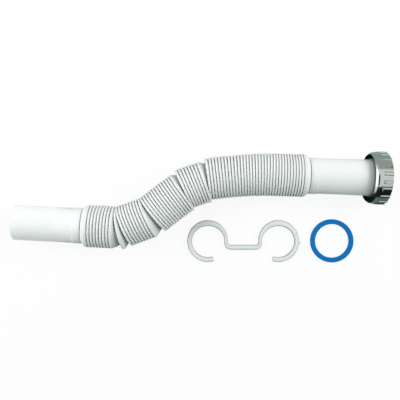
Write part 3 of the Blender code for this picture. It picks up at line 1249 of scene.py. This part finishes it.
class Clip:
    """The double clip on the floor."""

    HOOK_STEPS = 72
    CORNER_STEPS = 12
    SECTION_PARTS = 5
    # How far beyond the strip's end a cap's ring lies, and its size there.
    CAPS = ((0.0004, 0.90), (0.0006, 0.62))
    NUB_SIDES = 20
    # Parts of the nub's reach with its size there.
    NUB_PROFILE = ((0.0, 1.0), (0.7, 1.0), (0.9, 0.92), (0.98, 0.7), (1.0, 0.35))

    def __init__(self, spec: ClipSpec, hose: HoseSpec) -> None:
        """Derive the hooks' radius.

        Args:
            spec: the clip's sizes.
            hose: the hose's sizes, which the hooks grip.
        """
        self.spec = spec
        self.hook = hose.cuff_radius + spec.width / 2 - spec.squeeze

    @property
    def reach(self) -> float:
        """Distance from the clip's middle to the tip of its nub."""
        return self.spec.spacing / 2 + self.hook + self.spec.width / 2 + self.spec.nub_reach

    def _width(self, angle: float) -> float:
        """Work out the strip's width, which is largest on top of a hook and least beside the bar.

        Args:
            angle: angle round the left hook.

        Returns:
            The width there.
        """
        spec = self.spec
        top = max(0.0, math.sin(angle)) ** 2
        inner = max(0.0, math.cos(angle)) ** 2
        wider, narrower = spec.top_width - spec.width, spec.inner_width - spec.width
        return spec.width + wider * top + narrower * inner

    def _line(self) -> tuple[list[Vector], list[float]]:
        """Lay out the strip.

        Returns:
            Its middle line from one open end to the other, and its widths.
        """
        spec = self.spec
        centre = Vector((-spec.spacing / 2, 0.0))
        steps, bends = self.HOOK_STEPS, self.CORNER_STEPS
        half = self._arc(centre, self.hook, spec.open_angle, -2 * math.pi, steps)
        sweep = (-2 * math.pi - spec.open_angle) / steps
        widths = [self._width(spec.open_angle + sweep * step) for step in range(steps + 1)]
        corner = centre + Vector((self.hook + spec.corner_radius, -spec.drop))
        half += self._arc(corner, spec.corner_radius, math.pi, 1.5 * math.pi, bends)
        spread = (spec.width - spec.inner_width) / bends
        widths += [spec.inner_width + spread * step for step in range(bends + 1)]
        other = [Vector((-point.x, point.y)) for point in reversed(half)]
        return half + other, widths + widths[::-1]

    @staticmethod
    def _arc(centre: Vector, radius: float, start: float, end: float, steps: int) -> list[Vector]:
        """Return points on an arc."""
        turns = [start + (end - start) * step / steps for step in range(steps + 1)]
        return [centre + Vector((math.cos(turn), math.sin(turn))) * radius for turn in turns]

    def _ring(self, here: Vector, along: Vector, width: float, shrink: float) -> np.ndarray:
        """Draw the strip's rounded section at one place.

        Args:
            here: the place on the middle line.
            along: direction of the line there.
            width: the strip's width there.
            shrink: size of the section, 1 away from the ends.

        Returns:
            The ring of points.
        """
        spec = self.spec
        across, upwards = np.array((-along.y, along.x, 0.0)), np.array((0.0, 0.0, 1.0))
        centre = np.array((here.x, here.y, spec.height / 2))
        outline = rounded_section(width, spec.height, spec.edge, self.SECTION_PARTS)
        return np.array([centre + (across * out + upwards * up) * shrink for out, up in outline])

    def build(self, centre: Vector, material: bpy.types.Material) -> bpy.types.Object:
        """Build the clip.

        Args:
            centre: its place on the floor.
            material: its finish.

        Returns:
            The clip.
        """
        spec = self.spec
        points, widths = self._line()
        line = [Vector((point.x + centre.x, point.y + centre.y)) for point in points]
        rings = []
        for index, here in enumerate(line):
            along = (line[min(index + 1, len(line) - 1)] - line[max(index - 1, 0)]).normalized()
            rings.append(self._ring(here, along, widths[index], 1.0))
            if index in (0, len(line) - 1):
                sign = -1 if index == 0 else 1
                caps = [
                    self._ring(here + along * sign * beyond, along, widths[index], size)
                    for beyond, size in self.CAPS
                ]
                rings = caps[::-1] + rings if index == 0 else rings + caps
        points, faces = MeshKit.loft(rings, closed=False)
        clip = MeshKit.add("double_clip", points, faces, sharp=math.radians(60.0))
        # Painted shade: none on the top face, rising over the rounded edge to full on the sides.
        MeshKit.shade(clip, np.sqrt(np.clip((spec.height - points[:, 2]) / spec.edge, 0.0, 1.0)))
        ride(clip, Body.ROOT, material)
        self._nub(centre, material)
        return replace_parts(clip, "support_clip")

    def _nub(self, centre: Vector, material: bpy.types.Material) -> None:
        """Build the gate mark that stands out of the right hook.

        Args:
            centre: the clip's place on the floor.
            material: its finish.
        """
        spec = self.spec
        start = centre.x + spec.spacing / 2 + self.hook
        reach = spec.width / 2 + spec.nub_reach
        angle = 2 * math.pi * np.arange(self.NUB_SIDES) / self.NUB_SIDES
        rings = []
        for ahead, share in self.NUB_PROFILE:
            radius = spec.nub_radius * share
            rings.append(np.stack([
                np.full(self.NUB_SIDES, start + reach * ahead),
                centre.y - spec.nub_radius + np.cos(angle) * radius,
                spec.height / 2 + np.sin(angle) * radius,
            ], axis=1))
        points, faces = MeshKit.loft(rings, closed=False)
        nub = MeshKit.add("clip_gate_nub", points, faces, sharp=math.radians(60.0))
        ride(nub, Body.ROOT, material)


class Studio:
    """Floor, light, reflection cards and camera."""

    CAMERA_HEIGHT = 0.571
    FOCAL = 45.0
    SENSOR = 36.0
    BACKGROUND_SHARE = 0.9
    SKY = 0.31
    SKY_TINT = (0.78, 1.0, 0.975, 1.0)
    LAMP_TINT = (1.0, 0.96, 0.955)
    LAMPS = (
        ("left_lamp", (-1.10, 0.26, 0.85), 0.8, 13.4),
        ("right_lamp", (1.10, 0.38, 0.85), 0.8, 13.7),
    )
    FLOOR_SIZE = 8.0
    FLOOR_GAP = 0.0002
    WHITE = (1.0, 1.0, 1.0, 1.0)
    # Glows of the reflection cards: painted reflections and a painted highlight in the nut's
    # chrome.
    PAINTED_HIGHLIGHT = (1.9, 1.9, 1.9)
    DARK = (0.010, 0.016, 0.015)
    DARK_WALL = (0.012, 0.020, 0.018)
    GREY_WALL = (0.47, 0.51, 0.47)
    TEAL_FAR = (0.35, 0.48, 0.46)
    TEAL_NEAR = (0.17, 0.24, 0.23)

    def __init__(self, centre: Vector, nut: Station) -> None:
        """Place the studio.

        Args:
            centre: point on the floor under the camera.
            nut: the nut's place, which the reflection cards stand round.
        """
        self.centre = centre
        self.nut = nut.centre

    def _seen(self, graph: Graph) -> bpy.types.NodeSocket:
        """Tell what is seen from what only lights.

        Args:
            graph: graph of the world or of a material.

        Returns:
            1 on camera, glossy and transmission rays, 0 on others.
        """
        path = graph.node("LightPath")
        seen = graph.math("MAXIMUM", path.outputs["Is Camera Ray"], path.outputs["Is Glossy Ray"])
        return graph.math("MAXIMUM", seen, path.outputs["Is Transmission Ray"])

    def world(self) -> None:
        """White where it is seen, soft light elsewhere."""
        world = bpy.data.worlds.new("studio")
        world.use_nodes = True
        graph = Graph(world.node_tree)
        background = world.node_tree.nodes["Background"]
        links = world.node_tree.links
        seen = self._seen(graph)
        links.new(graph.span(seen, 0.0, 1.0, self.SKY, 1.0), background.inputs["Strength"])
        links.new(graph.mix(seen, self.SKY_TINT, self.WHITE), background.inputs["Color"])
        bpy.context.scene.world = world

    def floor(self) -> None:
        """A white floor that keeps a faint shadow."""
        bpy.ops.mesh.primitive_plane_add(size=self.FLOOR_SIZE, location=(0.0, 0.0, -self.FLOOR_GAP))
        floor = bpy.context.active_object
        floor.name = "floor"
        material, graph, shader = start_material("floor")
        shader.inputs["Base Color"].default_value = (0.9, 0.9, 0.9, 1.0)
        shader.inputs["Roughness"].default_value = 0.9
        white = graph.node("Emission", None, Strength=1.0)
        share = graph.math("MULTIPLY", self._seen(graph), self.BACKGROUND_SHARE)
        mixed = graph.node(
            "MixShader", None, in0=share, in1=shader.outputs[0], in2=white.outputs[0]
        )
        output = material.node_tree.nodes["Material Output"]
        material.node_tree.links.new(mixed.outputs[0], output.inputs["Surface"])
        floor.data.materials.append(material)

    def lamp(self, name: str, place: Corner, size: float, power: float) -> None:
        """Add a square soft box that points at the middle.

        Args:
            name: its name.
            place: where it hangs.
            size: its side.
            power: watts.
        """
        data = bpy.data.lights.new(name, "AREA")
        data.size = size
        data.energy = power
        data.color = self.LAMP_TINT
        box = bpy.data.objects.new(name, data)
        box.location = place
        box.rotation_euler = (-Vector(place)).to_track_quat("-Z", "Y").to_euler()
        box.visible_glossy = False
        bpy.context.scene.collection.objects.link(box)

    def camera(self) -> None:
        """Look straight down, as the photograph does."""
        data = bpy.data.cameras.new("camera")
        data.lens = self.FOCAL
        data.sensor_width = self.SENSOR
        camera = bpy.data.objects.new("camera", data)
        camera.location = (self.centre.x, self.centre.y, self.CAMERA_HEIGHT)
        bpy.context.scene.collection.objects.link(camera)
        bpy.context.scene.camera = camera

    def card(self, name: str, glow: Corner, corners: list[Corner]) -> None:
        """Add a card that only polished surfaces reflect: a painted reflection that lights nothing.

        Args:
            name: its name.
            glow: the colour that they reflect, linear.
            corners: its corners, relative to the nut in the floor's plane.
        """
        mesh = bpy.data.meshes.new(name)
        points = [(self.nut.x + x, self.nut.y + y, z) for x, y, z in corners]
        mesh.from_pydata(points, [], [tuple(range(len(points)))])
        card = bpy.data.objects.new(name, mesh)
        bpy.context.scene.collection.objects.link(card)
        material = bpy.data.materials.new(name)
        material.use_nodes = True
        tree = material.node_tree
        tree.nodes.remove(tree.nodes["Principled BSDF"])
        glow = Graph(tree).node("Emission", None, Color=(*glow, 1.0), Strength=1.0)
        tree.links.new(glow.outputs[0], tree.nodes["Material Output"].inputs["Surface"])
        mesh.materials.append(material)
        card.visible_camera = False
        card.visible_diffuse = False
        card.visible_transmission = False
        card.visible_shadow = False
        card.visible_volume_scatter = False

    @staticmethod
    def _level(left: float, right: float, near: float, far: float, height: float) -> list[Corner]:
        """Return the corners of a level rectangle."""
        return [(x, y, height) for x, y in ((left, near), (right, near), (right, far), (left, far))]

    @staticmethod
    def _upright(left: float, right: float, place: float, top: float) -> list[Corner]:
        """Return the corners of an upright rectangle that stands on the floor along X."""
        return [(left, place, 0.0), (right, place, 0.0), (right, place, top), (left, place, top)]

    def cards(self) -> None:
        """Stand cards round the nut as painted reflections and a painted highlight in its chrome.
        """
        left, middle, right, side = -0.35, -0.006, 0.60, 0.34
        low, cuff_far = 0.0004, 0.042
        far_top, near_top, ceiling = 0.51, 0.43, 0.50
        ceiling_right, ceiling_far = 0.08, 0.10
        self.card("card_beside_cuff", self.DARK, self._level(left, middle, -side, cuff_far, low))
        self.card("card_floor_far", self.TEAL_FAR, [
            (middle, 0.0, low), (right, 0.0, low), (right, side, low),
            (left, side, low), (left, cuff_far, low), (middle, cuff_far, low),
        ])
        self.card("card_floor_near", self.TEAL_NEAR, self._level(middle, right, -side, 0.0, low))
        self.card("card_wall_far", self.GREY_WALL, self._upright(left, right, side, far_top))
        self.card("card_wall_near", self.DARK_WALL, self._upright(left, right, -side, near_top))
        # Painted highlight: a card brighter than white, which the nut's back edge reflects.
        self.card("card_wall_left", self.PAINTED_HIGHLIGHT, [
            (left, -0.25, 0.22), (left, -0.10, 0.06), (left, 0.10, 0.06),
            (left, 0.25, 0.22), (left, 0.10, 0.42), (left, -0.10, 0.42),
        ])
        over = self._level(left, ceiling_right, -side, ceiling_far, ceiling)
        self.card("card_ceiling", self.DARK, over)

    def build(self) -> None:
        """Build the studio."""
        bpy.context.scene.view_settings.view_transform = "Standard"
        self.world()
        self.floor()
        for lamp in self.LAMPS:
            self.lamp(*lamp)
        self.cards()
        self.camera()


def layout_shift(clip: Clip, washer: Washer) -> Vector:
    """Return where the solids lie relative to the layout numbers, found from the washer.

    Args:
        clip: the clip.
        washer: the washer.

    Returns:
        The shift in the floor's plane.
    """
    low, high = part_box("sealing_washer")
    middle = (low + high) / 2
    return Vector((middle.x, middle.y, 0.0)) - washer_place(clip, washer)


def washer_place(clip: Clip, washer: Washer) -> Vector:
    """Return the washer's place in the layout numbers.

    Args:
        clip: the clip, which the washer lies beside.
        washer: the washer.

    Returns:
        Its centre on the floor.
    """
    spec = clip.spec
    return Vector((spec.place[0] + clip.reach + spec.loose_gap + washer.outer,
                   spec.place[1] + spec.washer_offset, 0.0))


def clear_startup() -> None:
    """Remove the objects that Blender starts with."""
    for leftover in ("Cube", "Light", "Camera"):
        if leftover in bpy.data.objects:
            bpy.data.objects.remove(bpy.data.objects[leftover], do_unlink=True)


def main() -> None:
    """Build every piece, then the studio, and report each piece."""
    logging.basicConfig(level=logging.INFO)
    clear_startup()
    effects = Effects()
    hose_spec = HoseSpec()
    nut = SlipNut(NutSpec(), hose_spec)
    washer = Washer(WasherSpec(), hose_spec)
    clip = Clip(ClipSpec(), hose_spec)
    shift = layout_shift(clip, washer)
    hose = Hose(hose_spec, nut.outer_radius, shift)
    hose.build(WhitePlastic().make(effects))
    log.info("hose: %d folds", len(hose.floors))
    nut.build(hose.face, DarkChrome().make(effects))
    log.info("slip nut: %.1f mm across", 2000 * nut.outer_radius)
    washer.build(washer_place(clip, washer) + shift, BlueRubber().make(effects))
    log.info("sealing washer: %.1f mm across", 2000 * washer.outer)
    clip.build(Vector((*clip.spec.place, 0.0)) + shift, ClearPlastic().make(effects))
    log.info("double clip: hooks %.1f mm apart", 1000 * clip.spec.spacing)
    Studio(shift, hose.face).build()


if __name__ == "__main__":
    main()
